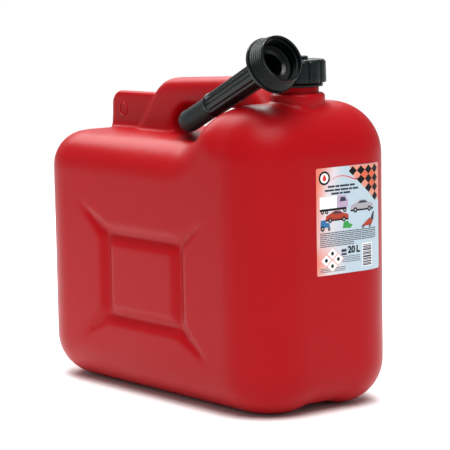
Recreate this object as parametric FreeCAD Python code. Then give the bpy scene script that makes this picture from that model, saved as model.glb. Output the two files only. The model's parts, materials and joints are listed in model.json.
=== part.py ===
"""Twenty litre fuel can with a screw cap and a pouring spout stored beside its handle.

Frame: origin at the centre of the footprint on the surface it stands on, +X towards the labelled
front, +Y across the can, +Z up.  All sizes are in millimetres.
"""
import FreeCAD, Part
import math
import os

from FreeCAD import Vector

# ---------------------------------------------------------------- tank
BODY_LENGTH = 410.0
BODY_WIDTH = 200.0
FRONT_TOP = 321.5
REAR_TOP = 279.0
CORNER_RADIUS = 62.0
BOTTOM_RADIUS = 48.0
REAR_SHOULDER_RADIUS = 39.0
FRONT_SHOULDER_RADIUS = 56.0
WALL = 2.5

STEP_FOOT_X = 49.0
STEP_CREST_X = 136.0
STEP_LOWER_RADIUS = 48.0

BASE_CHANNEL_WIDTH = 76.0
BASE_CHANNEL_FLOOR = 44.0
BASE_CHANNEL_DEPTH = 3.0

# Sunk cross on each long side: a square ring groove round a plateau, with four arms
PANEL_CENTRE_X = 2.0
PANEL_CENTRE_Z = 129.0
PANEL_HALF_LENGTH = 76.0
PANEL_HALF_HEIGHT = 55.0
GROOVE_WIDTH = 21.0
GROOVE_DEPTH = 6.5
ARM_END_HALF_LENGTH = 119.0
ARM_END_HALF_HEIGHT = 78.0

# ---------------------------------------------------------------- handle and fin
HANDLE_WIDTH = 34.0
HANDLE_EDGE_RADIUS = 13.0
HANDLE_UNDERSIDE = 311.0
HANDLE_FOOT_Z = 264.0
HANDLE_REAR_FOOT_X = -139.0
# Upper outline as (x, z), rear to front: rear corner, rear arc's middle and end, front arc's start,
# middle and end
HANDLE_CROWN = ((-86.0, 325.5), (-71.5, 335.7), (-52.0, 340.0), (46.0, 345.0), (82.0, 339.0), (112.0, 319.0))
GRIP_REAR_X = -51.0
GRIP_FRONT_X = 86.0
GRIP_REAR_RADIUS = 30.0
GRIP_FRONT_RADIUS = 18.0
GRIP_EDGE_RADIUS = 7.0
FIN_THICKNESS = 11.0
# Outline as (x, z): foot, start of the rear corner's arc, its middle and end
FIN_REAR = ((-186.0, 258.0), (-182.0, 300.0), (-177.5, 316.0), (-163.0, 321.0))
FIN_FRONT_X = -88.0
FIN_TOP = 322.0
FIN_EDGE_RADIUS = 4.0

# ---------------------------------------------------------------- neck and its thread
NECK_X = 149.0
NECK_RING_RADIUS = 28.3
NECK_RING_TOP = 332.0
NECK_RING_CROWN_RADIUS = 3.0
NECK_PLAIN_RADIUS = 22.0
NECK_PLAIN_TOP = 338.5
NECK_ROOT_RADIUS = 20.6
NECK_BORE_RADIUS = 18.0
NECK_TOP = 362.0
THREAD_PITCH = 4.0
THREAD_CREST_RADIUS = 22.2
THREAD_START = 345.5
THREAD_TURNS = 3.0
THREAD_HALF_BASE = 1.0
THREAD_HALF_CREST = 0.4

# ---------------------------------------------------------------- cap
CAP_BOTTOM = 343.0
CAP_TOP = 366.5
CAP_CROWN_RADIUS = 1.8
CAP_RADIUS = 30.2
CAP_LOBES = 12
CAP_FLUTE_RADIUS = 2.6
CAP_ROOT_RADIUS = 22.8
CAP_CREST_RADIUS = 21.2
CAP_CEILING = 363.6
BOSS_RADIUS = 11.2
BOSS_TOP = 370.0
BOSS_CROWN_RADIUS = 1.2
SEAL_INNER_RADIUS = 15.0
SEAL_THICKNESS = 1.3
TAMPER_RADIUS = 26.4
TAMPER_HEIGHT = 3.0

# ---------------------------------------------------------------- spout, measured back from the collar's rim
RIM_CENTRE = Vector(192.0, -55.0, 372.0)
SPOUT_PITCH_DEG = 24.8
COLLAR_LENGTH = 22.0
COLLAR_RIM_RADIUS = 24.7
COLLAR_REAR_RADIUS = 27.4
COLLAR_FLANGE_RADIUS = 30.0
COLLAR_FLANGE_THICKNESS = 3.5
COLLAR_FLOOR = 3.0
COLLAR_THREAD_DEPTH = 14.0
COLLAR_THREAD_TURNS = 2.5
COLLAR_RIDGES = 5
RIDGE_HEIGHT = 0.9
GASKET_THICKNESS = 1.4
TUBE_HEAD_RADIUS = 20.9
TUBE_HEAD_THICKNESS = 2.0
TUBE_MOUTH_RADIUS = 16.5
TUBE_REAR_RADIUS = 14.2
TUBE_END_RADIUS = 12.9
TUBE_END = 128.0
TUBE_BORE_RADIUS = 11.0
TUBE_FLUTES = 10
TUBE_FLUTE_RADIUS = 2.2
TUBE_FLUTE_MARGIN = 4.0
NOZZLE_RADIUS = 11.4
NOZZLE_LEG_RADIUS = 10.6
NOZZLE_CONE_LENGTH = 18.0
NOZZLE_BORE_RADIUS = 8.8
NOZZLE_SPIGOT = 15.0
NOZZLE_CORNER = 173.0
NOZZLE_BEND_RADIUS = 30.0
NOZZLE_TIP = Vector(-28.0, -9.0, 295.5)

# ---------------------------------------------------------------- label
LABEL_START = -24.0
LABEL_WIDTH = 91.0
LABEL_BOTTOM = 147.0
LABEL_HEIGHT = 111.0
LABEL_THICKNESS = 0.3
SHADOW_GAP = 0.05

Y_AXIS = Vector(0, 1, 0)
Z_AXIS = Vector(0, 0, 1)


def side_point(x, z):
    """A point of a side-view outline."""
    return Vector(x, 0, z)


def line(a, b):
    """A straight edge."""
    return Part.makeLine(a, b)


def arc(a, middle, b):
    """An arc through three points."""
    return Part.Arc(a, middle, b).toShape()


def slab(edges, width):
    """A side-view outline drawn at y = 0, extruded to a slab of this width centred on y = 0."""
    face = Part.Face(Part.Wire(Part.__sortEdges__(edges)))
    face.translate(Vector(0, -width / 2, 0))
    return face.extrude(Vector(0, width, 0))


def centre_of(edge):
    """The point halfway along an edge."""
    return edge.valueAt((edge.FirstParameter + edge.LastParameter) / 2)


def step_arcs(inset):
    """The two tangent arcs of the stepped top, lower one first, moved inwards by inset."""
    rise = FRONT_TOP - REAR_TOP
    run = STEP_CREST_X - STEP_FOOT_X
    radius_sum = (run ** 2 + rise ** 2) / (2 * rise)
    lower = STEP_LOWER_RADIUS
    upper = radius_sum - lower
    turn = math.asin(run / radius_sum)
    lower_centre = side_point(STEP_FOOT_X, REAR_TOP + lower)
    upper_centre = side_point(STEP_CREST_X, FRONT_TOP - upper)

    def on_lower(angle):
        reach = lower + inset
        return lower_centre + Vector(reach * math.sin(angle), 0, -reach * math.cos(angle))

    def on_upper(angle):
        reach = upper - inset
        return upper_centre + Vector(-reach * math.sin(angle), 0, reach * math.cos(angle))

    return (arc(on_lower(0), on_lower(turn / 2), on_lower(turn)),
            arc(on_upper(turn), on_upper(turn / 2), on_upper(0)))


def body_block(inset):
    """The can's body with every face moved inwards by inset."""
    half_length = BODY_LENGTH / 2 - inset
    bottom = inset
    rear_top = REAR_TOP - inset
    front_top = FRONT_TOP - inset
    lower_arc, upper_arc = step_arcs(inset)
    outline = [
        line(side_point(-half_length, bottom), side_point(half_length, bottom)),
        line(side_point(half_length, bottom), side_point(half_length, front_top)),
        line(side_point(half_length, front_top), side_point(STEP_CREST_X, front_top)),
        upper_arc,
        lower_arc,
        line(side_point(STEP_FOOT_X, rear_top), side_point(-half_length, rear_top)),
        line(side_point(-half_length, rear_top), side_point(-half_length, bottom)),
    ]
    block = slab(outline, BODY_WIDTH - 2 * inset)
    upright = [e for e in block.Edges
               if abs(e.tangentAt(e.FirstParameter).z) > 0.999 and e.Length > rear_top / 2]
    block = block.makeFillet(CORNER_RADIUS - inset, upright)
    floor_rim = [e for e in block.Edges if abs(centre_of(e).z - bottom) < 0.01]
    block = block.makeFillet(BOTTOM_RADIUS - inset, floor_rim)
    return round_shoulders(block, inset)


def round_shoulders(block, inset):
    """Round the top rim: a tight shoulder at the rear that opens out over the step's upper arc."""
    rear = REAR_SHOULDER_RADIUS - inset
    front = FRONT_SHOULDER_RADIUS - inset
    half_width = BODY_WIDTH / 2 - inset
    document = FreeCAD.newDocument("shoulders")
    source = document.addObject("Part::Feature", "Block")
    source.Shape = block
    radii = []
    for number, edge in enumerate(block.Edges, start=1):
        middle = centre_of(edge)
        seam = abs(middle.y) < 1 and abs(middle.x) < BODY_LENGTH / 2 - CORNER_RADIUS
        if middle.z < REAR_TOP - inset - 0.01 or seam:
            continue
        first, last = (edge.valueAt(edge.FirstParameter), edge.valueAt(edge.LastParameter))
        on_step = abs(abs(middle.y) - half_width) < 0.01 and abs(first.z - last.z) > 1
        if on_step and max(first.z, last.z) > FRONT_TOP - inset - 0.01:
            rising = (first.z < last.z) == (edge.Orientation == "Forward")
            radii.append((number, rear, front) if rising else (number, front, rear))
        elif max(first.x, last.x) > STEP_CREST_X:
            radii.append((number, front, front))
        else:
            radii.append((number, rear, rear))
    fillet = document.addObject("Part::Fillet", "Fillet")
    fillet.Base = source
    fillet.Edges = radii
    document.recompute()
    rounded = fillet.Shape.Solids[0]
    FreeCAD.closeDocument(document.Name)
    return rounded


def frustum(half_length, half_height, end_half_length, end_half_height, y, end_y):
    """A four-sided tapered block between two rectangles that face +-Y."""
    wires = []
    for a, b, depth in ((half_length, half_height, y), (end_half_length, end_half_height, end_y)):
        corners = [Vector(PANEL_CENTRE_X + sx * a, depth, PANEL_CENTRE_Z + sz * b)
                   for sx, sz in ((-1, -1), (1, -1), (1, 1), (-1, 1))]
        wires.append(Part.makePolygon(corners + corners[:1]))
    return Part.makeLoft(wires, True, True)


def panel_groove(inset):
    """The sunk cross of the near long side, swollen outwards by inset all round."""
    surface = -BODY_WIDTH / 2 - 1.0
    slope = (GROOVE_WIDTH / 2) / GROOVE_DEPTH
    floor = -BODY_WIDTH / 2 + GROOVE_DEPTH + inset
    spread = slope * (floor - surface)
    middle_length = PANEL_HALF_LENGTH - GROOVE_WIDTH / 2
    middle_height = PANEL_HALF_HEIGHT - GROOVE_WIDTH / 2
    outside = frustum(middle_length + spread, middle_height + spread,
                      middle_length, middle_height, surface, floor)
    plateau = frustum(middle_length - spread, middle_height - spread,
                      middle_length, middle_height, surface, floor)
    groove = outside.cut(plateau)
    for sx in (-1, 1):
        for sz in (-1, 1):
            groove = groove.fuse(panel_arm(sx, sz, surface, floor, spread))
    return groove


def panel_arm(sx, sz, surface, floor, spread):
    """One tapering arm of the sunk cross, from a corner of the ring out towards the body's corner."""
    root = Vector(PANEL_CENTRE_X + sx * (PANEL_HALF_LENGTH - GROOVE_WIDTH / 2), 0,
                  PANEL_CENTRE_Z + sz * (PANEL_HALF_HEIGHT - GROOVE_WIDTH / 2))
    tip = Vector(PANEL_CENTRE_X + sx * ARM_END_HALF_LENGTH, 0, PANEL_CENTRE_Z + sz * ARM_END_HALF_HEIGHT)
    across = (tip - root).normalize().cross(Y_AXIS)
    sections = []
    for place, share in ((root, 1.0), (tip, 0.25)):
        top = place + Vector(0, surface, 0)
        corners = [top + across * (spread * share), top - across * (spread * share),
                   place + Vector(0, surface + (floor - surface) * share, 0)]
        sections.append(Part.makePolygon(corners + corners[:1]))
    return Part.makeLoft(sections, True, True)


def base_channel(inset):
    """The shallow channel along the middle of the base, which leaves two long feet."""
    half_mouth = BASE_CHANNEL_WIDTH / 2 + inset
    half_floor = BASE_CHANNEL_FLOOR / 2 + inset
    height = BASE_CHANNEL_DEPTH + inset
    corners = [Vector(-BODY_LENGTH, y, z)
               for y, z in ((-half_mouth, -1), (half_mouth, -1), (half_mouth, 0),
                            (half_floor, height), (-half_floor, height), (-half_mouth, 0))]
    return Part.Face(Part.makePolygon(corners + corners[:1])).extrude(Vector(2 * BODY_LENGTH, 0, 0))


def corner_arc(x, top, radius):
    """The quarter round of an upper corner; a negative radius turns towards -X."""
    reach = abs(radius)
    middle = side_point(x + radius * (1 - math.sqrt(0.5)), top - reach * (1 - math.sqrt(0.5)))
    return arc(side_point(x, top - reach), middle, side_point(x + radius, top))


def grip_gap(inset, width):
    """The finger gap through the handle, made smaller all round by inset."""
    top = HANDLE_UNDERSIDE - inset
    rear = GRIP_REAR_X + inset
    front = GRIP_FRONT_X - inset
    bottom = REAR_TOP - 20
    outline = [
        line(side_point(rear, bottom), side_point(rear, top - GRIP_REAR_RADIUS)),
        corner_arc(rear, top, GRIP_REAR_RADIUS),
        line(side_point(rear + GRIP_REAR_RADIUS, top), side_point(front - GRIP_FRONT_RADIUS, top)),
        corner_arc(front, top, -GRIP_FRONT_RADIUS),
        line(side_point(front, top - GRIP_FRONT_RADIUS), side_point(front, bottom)),
        line(side_point(front, bottom), side_point(rear, bottom)),
    ]
    return slab(outline, width)


def handle_bar(inset):
    """The through handle: a rounded bar from the fin to the raised front, moved inwards by inset."""
    rear_foot = side_point(HANDLE_REAR_FOOT_X + inset, HANDLE_FOOT_Z)
    corner, rear_middle = (side_point(x + inset, z - inset) for x, z in HANDLE_CROWN[:2])
    rear_end, front_start, front_middle, front_end = (side_point(x, z - inset) for x, z in HANDLE_CROWN[2:])
    front_foot = side_point(front_end.x, HANDLE_FOOT_Z)
    outline = [
        line(rear_foot, corner),
        arc(corner, rear_middle, rear_end),
        line(rear_end, front_start),
        arc(front_start, front_middle, front_end),
        line(front_end, front_foot),
        line(front_foot, rear_foot),
    ]
    bar = slab(outline, HANDLE_WIDTH - 2 * inset)
    crown = [e for e in bar.Edges
             if abs(centre_of(e).y) > 1 and centre_of(e).z > REAR_TOP
             and abs(centre_of(e).x - front_end.x) > 0.1]
    bar = bar.makeFillet(HANDLE_EDGE_RADIUS - inset, crown)
    bar = bar.cut(grip_gap(-inset, HANDLE_WIDTH + 10))
    rim = [e for e in bar.Edges
           if abs(abs(centre_of(e).y) - HANDLE_WIDTH / 2 + inset) < 0.01
           and GRIP_REAR_X - inset - 0.1 < centre_of(e).x < GRIP_FRONT_X + inset + 0.1
           and HANDLE_FOOT_Z + 0.1 < centre_of(e).z < HANDLE_UNDERSIDE + inset + 0.1]
    return bar.makeFillet(GRIP_EDGE_RADIUS - inset, rim)


def rear_fin():
    """The thin pinched web behind the handle."""
    foot, corner_start, corner_middle, corner_end = (side_point(x, z) for x, z in FIN_REAR)
    front_top = side_point(FIN_FRONT_X, FIN_TOP)
    front_foot = side_point(FIN_FRONT_X, foot.z)
    outline = [
        line(foot, corner_start),
        arc(corner_start, corner_middle, corner_end),
        line(corner_end, front_top),
        line(front_top, front_foot),
        line(front_foot, foot),
    ]
    fin = slab(outline, FIN_THICKNESS)
    rim = [e for e in fin.Edges
           if abs(centre_of(e).y) > 1 and centre_of(e).z > foot.z + 1
           and centre_of(e).x < FIN_FRONT_X - 1]
    return fin.makeFillet(FIN_EDGE_RADIUS, rim)


def ring(outer, inner, bottom, top):
    """An upright tube round the neck's axis, or a plain disc when inner is zero."""
    base = Vector(NECK_X, 0, bottom)
    tube = Part.makeCylinder(outer, top - bottom, base)
    return tube.cut(Part.makeCylinder(inner, top - bottom, base)) if inner else tube


def helical_ridge(root, crest, turns):
    """A screw-thread ridge about +Z that starts on +X at z = 0; crest may lie inside or outside root."""
    sink = 0.3 if crest > root else -0.3
    path = Part.makeHelix(THREAD_PITCH, THREAD_PITCH * turns, root)
    section = Part.makePolygon([
        Vector(root - sink, 0, -THREAD_HALF_BASE), Vector(crest, 0, -THREAD_HALF_CREST),
        Vector(crest, 0, THREAD_HALF_CREST), Vector(root - sink, 0, THREAD_HALF_BASE),
        Vector(root - sink, 0, -THREAD_HALF_BASE)])
    return Part.Wire(path).makePipeShell([section], True, True)


def threaded_neck():
    """The neck's ring, plain collar and male thread, solid inside."""
    neck = ring(NECK_RING_RADIUS, 0, FRONT_TOP - 8, NECK_RING_TOP)
    crown = [e for e in neck.Edges if abs(centre_of(e).z - NECK_RING_TOP) < 0.01 and e.Length > 20]
    neck = neck.makeFillet(NECK_RING_CROWN_RADIUS, crown)
    neck = neck.fuse(ring(NECK_PLAIN_RADIUS, 0, NECK_RING_TOP - 1, NECK_PLAIN_TOP))
    neck = neck.fuse(ring(NECK_ROOT_RADIUS, 0, NECK_PLAIN_TOP - 1, NECK_TOP))
    thread = helical_ridge(NECK_ROOT_RADIUS, THREAD_CREST_RADIUS, THREAD_TURNS)
    thread.translate(Vector(NECK_X, 0, THREAD_START))
    return neck.fuse(thread)


def both_sides(tool):
    """A tool for the near side together with its mirror image for the far side."""
    return [tool, tool.mirror(Vector(0, 0, 0), Y_AXIS)]


def tank_shell():
    """The blow moulded can, hollow with an even wall; the fin is pinched solid."""
    outside = body_block(0).fuse(handle_bar(0)).fuse(rear_fin()).fuse(threaded_neck())
    hollow = body_block(WALL).fuse(handle_bar(WALL))
    for tool in both_sides(panel_groove(0)):
        outside = outside.cut(tool)
    for tool in both_sides(panel_groove(WALL)):
        hollow = hollow.cut(tool)
    outside = outside.cut(base_channel(0))
    hollow = hollow.cut(base_channel(WALL))
    hollow = hollow.fuse(ring(NECK_BORE_RADIUS, 0, FRONT_TOP - 20, NECK_TOP + 1))
    return outside.cut(hollow)


def screw_cap():
    """The closure: a fluted cup with a centre boss and a female thread that meshes with the neck."""
    cup = ring(CAP_RADIUS, 0, CAP_BOTTOM, CAP_TOP)
    crown = [e for e in cup.Edges if abs(centre_of(e).z - CAP_TOP) < 0.01 and e.Length > 20]
    cup = cup.makeFillet(CAP_CROWN_RADIUS, crown)
    boss = ring(BOSS_RADIUS, 0, CAP_TOP - 1, BOSS_TOP)
    crown = [e for e in boss.Edges if abs(centre_of(e).z - BOSS_TOP) < 0.01 and e.Length > 20]
    cup = cup.fuse(boss.makeFillet(BOSS_CROWN_RADIUS, crown))
    cup = cup.cut(ring(CAP_ROOT_RADIUS, 0, CAP_BOTTOM - 1, CAP_CEILING))
    reach = CAP_RADIUS + 0.8
    for lobe in range(CAP_LOBES):
        angle = 2 * math.pi * (lobe + 0.5) / CAP_LOBES
        foot = Vector(NECK_X + reach * math.cos(angle), reach * math.sin(angle), CAP_BOTTOM - 1)
        cup = cup.cut(Part.makeCylinder(CAP_FLUTE_RADIUS, CAP_TOP - CAP_BOTTOM + 2, foot))
    thread = helical_ridge(CAP_ROOT_RADIUS, CAP_CREST_RADIUS, THREAD_TURNS)
    thread.translate(Vector(NECK_X, 0, THREAD_START + THREAD_PITCH / 2))
    return cup.fuse(thread)


def along_spout(shape):
    """Place a shape that was drawn with the spout's rim at the origin and the spout running down -Z."""
    shape.rotate(Vector(0, 0, 0), Y_AXIS, 90 - SPOUT_PITCH_DEG)
    shape.translate(RIM_CENTRE)
    return shape


def turned(points):
    """A solid of revolution about Z from (radius, z) pairs of its half section."""
    corners = [Vector(r, 0, z) for r, z in points]
    face = Part.Face(Part.makePolygon(corners + corners[:1]))
    return face.revolve(Vector(0, 0, 0), Z_AXIS, 360)


def spout_collar():
    """The spout's captive nut: ridged outside, flanged at the rear, threaded inside."""
    rear = -COLLAR_LENGTH
    front_of_flange = rear + COLLAR_FLANGE_THICKNESS
    nut = turned([
        (CAP_ROOT_RADIUS, 0), (COLLAR_RIM_RADIUS, 0), (COLLAR_RIM_RADIUS, -2.5),
        (COLLAR_REAR_RADIUS, front_of_flange), (COLLAR_FLANGE_RADIUS, front_of_flange),
        (COLLAR_FLANGE_RADIUS, rear), (TUBE_REAR_RADIUS + 0.4, rear),
        (TUBE_REAR_RADIUS + 0.4, rear + COLLAR_FLOOR), (CAP_ROOT_RADIUS, rear + COLLAR_FLOOR)])
    for ridge in range(COLLAR_RIDGES):
        share = (ridge + 0.5) / COLLAR_RIDGES
        z = -3.5 + share * (front_of_flange + 4.5)
        radius = COLLAR_RIM_RADIUS + (COLLAR_REAR_RADIUS - COLLAR_RIM_RADIUS) * share
        crest = radius + RIDGE_HEIGHT
        nut = nut.fuse(turned([(radius - 1.5, z - 0.9), (crest, z - 0.5),
                               (crest, z + 0.5), (radius - 1.5, z + 0.9)]))
    thread = helical_ridge(CAP_ROOT_RADIUS, CAP_CREST_RADIUS, COLLAR_THREAD_TURNS)
    thread.translate(Vector(0, 0, -COLLAR_THREAD_DEPTH))
    return along_spout(nut.fuse(thread))


def spout_gasket():
    """The washer that seals the tube's head on the neck's lip."""
    seat = -COLLAR_LENGTH + COLLAR_FLOOR + 0.1 + TUBE_HEAD_THICKNESS
    inner = TUBE_MOUTH_RADIUS + 0.5
    outer = TUBE_HEAD_RADIUS - 0.3
    return along_spout(turned([(inner, seat), (outer, seat), (outer, seat + GASKET_THICKNESS),
                               (inner, seat + GASKET_THICKNESS)]))


def spout_tube():
    """The pouring tube: a head held in the collar, a fluted taper, and a socket for the nozzle."""
    under_head = -COLLAR_LENGTH + COLLAR_FLOOR + 0.1
    head_top = under_head + TUBE_HEAD_THICKNESS
    shaft_start = -COLLAR_LENGTH - 1.0
    tube = turned([
        (TUBE_MOUTH_RADIUS, head_top), (TUBE_HEAD_RADIUS, head_top), (TUBE_HEAD_RADIUS, under_head),
        (TUBE_REAR_RADIUS, under_head), (TUBE_REAR_RADIUS, shaft_start),
        (TUBE_END_RADIUS, -TUBE_END), (TUBE_BORE_RADIUS, -TUBE_END),
        (TUBE_BORE_RADIUS, shaft_start - 8), (TUBE_REAR_RADIUS - 2, shaft_start + 2),
        (TUBE_REAR_RADIUS - 2, under_head)])
    flute_end = -TUBE_END + TUBE_FLUTE_MARGIN
    flute_length = shaft_start - 6 - flute_end
    for flute in range(TUBE_FLUTES):
        rod = Part.makeCylinder(TUBE_FLUTE_RADIUS, flute_length, Vector(TUBE_END_RADIUS + 1.3, 0, flute_end))
        rod.rotate(Vector(0, 0, 0), Z_AXIS, 360.0 * flute / TUBE_FLUTES)
        tube = tube.cut(rod)
    return along_spout(tube)


def nozzle_path(start):
    """The nozzle's centre line: straight down the spout's axis, one bend, and a straight leg."""
    pitch = math.radians(SPOUT_PITCH_DEG)
    axis = Vector(math.cos(pitch), 0, math.sin(pitch))
    begin = RIM_CENTRE - axis * start
    corner = RIM_CENTRE - axis * NOZZLE_CORNER
    arriving = -axis
    leaving = (NOZZLE_TIP - corner).normalize()
    turn = arriving.getAngle(leaving)
    trim = NOZZLE_BEND_RADIUS * math.tan(turn / 2)
    bend_start = corner - arriving * trim
    bend_end = corner + leaving * trim
    inward = (leaving - arriving).normalize()
    middle = corner + inward * (NOZZLE_BEND_RADIUS / math.cos(turn / 2) - NOZZLE_BEND_RADIUS)
    return Part.Wire([line(begin, bend_start), arc(bend_start, middle, bend_end),
                      line(bend_end, NOZZLE_TIP)])


def swept_rod(path, radius):
    """A round rod along a path."""
    start = path.Edges[0].valueAt(path.Edges[0].FirstParameter)
    direction = path.Edges[0].tangentAt(path.Edges[0].FirstParameter)
    circle = Part.Wire(Part.makeCircle(radius, start, direction))
    return path.makePipeShell([circle], True, True)


def spout_nozzle():
    """The bent outlet: a spigot in the tube's socket, a short cone, and a slimmer bent leg."""
    leg = swept_rod(nozzle_path(TUBE_END - NOZZLE_SPIGOT), NOZZLE_LEG_RADIUS)
    cone_end = -TUBE_END - NOZZLE_CONE_LENGTH
    cone = along_spout(turned([(0, -TUBE_END), (NOZZLE_RADIUS, -TUBE_END),
                               (NOZZLE_LEG_RADIUS, cone_end), (0, cone_end)]))
    bore = swept_rod(nozzle_path(TUBE_END - NOZZLE_SPIGOT), NOZZLE_BORE_RADIUS)
    return leg.fuse(cone).cut(bore)


def front_label():
    """The label: a thin sheet on the front face that carries on round the far front corner."""
    front = BODY_LENGTH / 2 + SHADOW_GAP
    corner = Vector(BODY_LENGTH / 2 - CORNER_RADIUS, BODY_WIDTH / 2 - CORNER_RADIUS, LABEL_BOTTOM)
    wrap = (LABEL_START + LABEL_WIDTH - corner.y) / CORNER_RADIUS
    edges = []
    ends = []
    for layer in (0, LABEL_THICKNESS):
        radius = CORNER_RADIUS + SHADOW_GAP + layer
        begin = Vector(front + layer, LABEL_START, LABEL_BOTTOM)
        tangent = Vector(front + layer, corner.y, LABEL_BOTTOM)
        middle, end = (corner + Vector(radius * math.cos(a), radius * math.sin(a), 0)
                       for a in (wrap / 2, wrap))
        edges += [line(begin, tangent), arc(tangent, middle, end)]
        ends.append((begin, end))
    edges += [line(ends[0][0], ends[1][0]), line(ends[0][1], ends[1][1])]
    return Part.Face(Part.Wire(Part.__sortEdges__(edges))).extrude(Vector(0, 0, LABEL_HEIGHT))


def main():
    """Build each piece and write it to its own file."""
    pieces = {
        "tank_shell": tank_shell(),
        "screw_cap": screw_cap(),
        "cap_seal": ring(CAP_ROOT_RADIUS - 0.3, SEAL_INNER_RADIUS,
                         CAP_CEILING - 0.1 - SEAL_THICKNESS, CAP_CEILING - 0.1),
        "tamper_ring": ring(TAMPER_RADIUS, NECK_ROOT_RADIUS + 0.4, NECK_PLAIN_TOP + 0.3,
                            NECK_PLAIN_TOP + 0.3 + TAMPER_HEIGHT),
        "spout_collar": spout_collar(),
        "spout_gasket": spout_gasket(),
        "spout_tube": spout_tube(),
        "spout_nozzle": spout_nozzle(),
        "front_label": front_label(),
    }
    os.makedirs("parts", exist_ok=True)
    for name, shape in pieces.items():
        solid = shape.Solids[0]
        solid.exportStep(f"parts/{name}.step")
        print(f"{name}: valid {solid.isValid()}, solids {len(solid.Solids)}, "
              f"volume {solid.Volume / 1000:.1f} cm3, box {solid.BoundBox}")


main()
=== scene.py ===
"""Looks of a twenty litre polyethylene fuel can with a screw cap and a stored pouring spout.

Lengths inside the classes are in millimetres, as a mould drawing gives them, and become metres
where a mesh is made.  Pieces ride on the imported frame's bodies.
"""

import json
import logging
import math
from dataclasses import dataclass, field
from enum import Enum
from typing import Callable, Iterable, Sequence

import bmesh
import bpy
from mathutils import Matrix, Vector


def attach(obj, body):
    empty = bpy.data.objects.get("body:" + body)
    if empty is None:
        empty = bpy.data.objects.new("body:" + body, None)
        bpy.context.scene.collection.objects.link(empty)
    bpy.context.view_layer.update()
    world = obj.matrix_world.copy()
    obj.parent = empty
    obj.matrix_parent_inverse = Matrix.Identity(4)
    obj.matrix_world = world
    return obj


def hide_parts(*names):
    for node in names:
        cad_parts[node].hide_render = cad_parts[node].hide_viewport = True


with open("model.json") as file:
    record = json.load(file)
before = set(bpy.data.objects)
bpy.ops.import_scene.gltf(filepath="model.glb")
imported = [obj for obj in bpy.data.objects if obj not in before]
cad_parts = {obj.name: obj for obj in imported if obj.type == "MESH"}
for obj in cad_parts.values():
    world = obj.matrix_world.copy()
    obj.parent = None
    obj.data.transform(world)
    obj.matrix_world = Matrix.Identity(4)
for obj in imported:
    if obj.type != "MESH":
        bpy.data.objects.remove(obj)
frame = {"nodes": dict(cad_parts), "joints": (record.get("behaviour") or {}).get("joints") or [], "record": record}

MM = 0.001
FULL_TURN = 2 * math.pi
LOG = logging.getLogger("fuel_can")
NECK_X = 149.0
PLUG_THREAD_CREST = 21.2

Outline = Sequence[tuple[float, float]]


class Rides(Enum):
    """The moving bodies that pieces ride on."""

    TANK = "tank"
    SEAL = "seal_carrier"
    CAP = "cap"
    SPOUT = "spout"
    COLLAR = "collar"


class SlotName(Enum):
    """The record's material slots."""

    TANK = "tank_plastic"
    CAP = "cap_plastic"
    SPOUT = "spout_plastic"
    NOZZLE = "nozzle_plastic"
    SEAL = "seal_rubber"
    LABEL = "label_film"


# ------------------------------------------------------------------------------------ small tools


def linear(hex_colour: str) -> tuple[float, float, float, float]:
    """Turn an sRGB hex colour into the linear colour that shaders use.

    Args:
        hex_colour: Six hex digits with a leading hash.

    Returns:
        Linear red, green, blue and full alpha.
    """
    channels = [int(hex_colour[i:i + 2], 16) / 255 for i in (1, 3, 5)]
    flat = [c / 12.92 if c <= 0.04045 else ((c + 0.055) / 1.055) ** 2.4 for c in channels]
    return (flat[0], flat[1], flat[2], 1.0)


def add_node(tree: bpy.types.NodeTree, kind: str, inputs: dict | None = None,
             links: dict | None = None, **settings: object) -> bpy.types.Node:
    """Add one shader node with its settings and links.

    Args:
        tree: The material's node tree.
        kind: The node's type name.
        inputs: Values for input sockets, by name or number.
        links: Output sockets to join to input sockets, by name or number.
        **settings: Properties of the node itself.

    Returns:
        The new node.
    """
    node = tree.nodes.new(kind)
    for name, value in settings.items():
        setattr(node, name, value)
    for socket, value in (inputs or {}).items():
        node.inputs[socket].default_value = value
    for socket, source in (links or {}).items():
        tree.links.new(source, node.inputs[socket])
    return node


def place_vector(spot: Sequence[float]) -> Vector:
    """Turn a place in millimetres into metres."""
    return Vector(spot) * MM


def bearing(azimuth: float, elevation: float) -> Vector:
    """Give the unit direction away from the can at a bearing and a height.

    Args:
        azimuth: Degrees round from the near side.
        elevation: Degrees above the floor.

    Returns:
        The direction.
    """
    turn, rise = math.radians(azimuth), math.radians(elevation)
    return Vector((math.sin(turn) * math.cos(rise), -math.cos(turn) * math.cos(rise),
                   math.sin(rise)))


def add_object(name: str, data: bpy.types.ID) -> bpy.types.Object:
    """Make an object from its data and link it to the scene.

    Args:
        name: The object's name.
        data: Its mesh, curve, light or camera.

    Returns:
        The new object.
    """
    made = bpy.data.objects.new(name, data)
    bpy.context.scene.collection.objects.link(made)
    return made


def new_material(name: str) -> tuple[bpy.types.Material, bpy.types.NodeTree, bpy.types.NodeSocket]:
    """Start an empty material.

    Args:
        name: The material's name.

    Returns:
        The material, its node tree, and the socket that gives a place on the piece.
    """
    material = bpy.data.materials.new(name)
    material.use_nodes = True
    tree = material.node_tree
    tree.nodes.clear()
    return material, tree, add_node(tree, "ShaderNodeTexCoord").outputs["Object"]


def verts_in(made: Iterable[object]) -> list[bmesh.types.BMVert]:
    """Pick the points out of what an operator made."""
    return [part for part in made if isinstance(part, bmesh.types.BMVert)]


def edges_in(made: Iterable[object]) -> list[bmesh.types.BMEdge]:
    """Pick the edges out of what an operator made."""
    return [part for part in made if isinstance(part, bmesh.types.BMEdge)]


def onto_neck(bm: bmesh.types.BMesh) -> bmesh.types.BMesh:
    """Move a mesh made about the Z axis onto the neck's axis and give it back."""
    bmesh.ops.translate(bm, vec=(NECK_X * MM, 0, 0), verts=list(bm.verts))
    return bm


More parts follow.
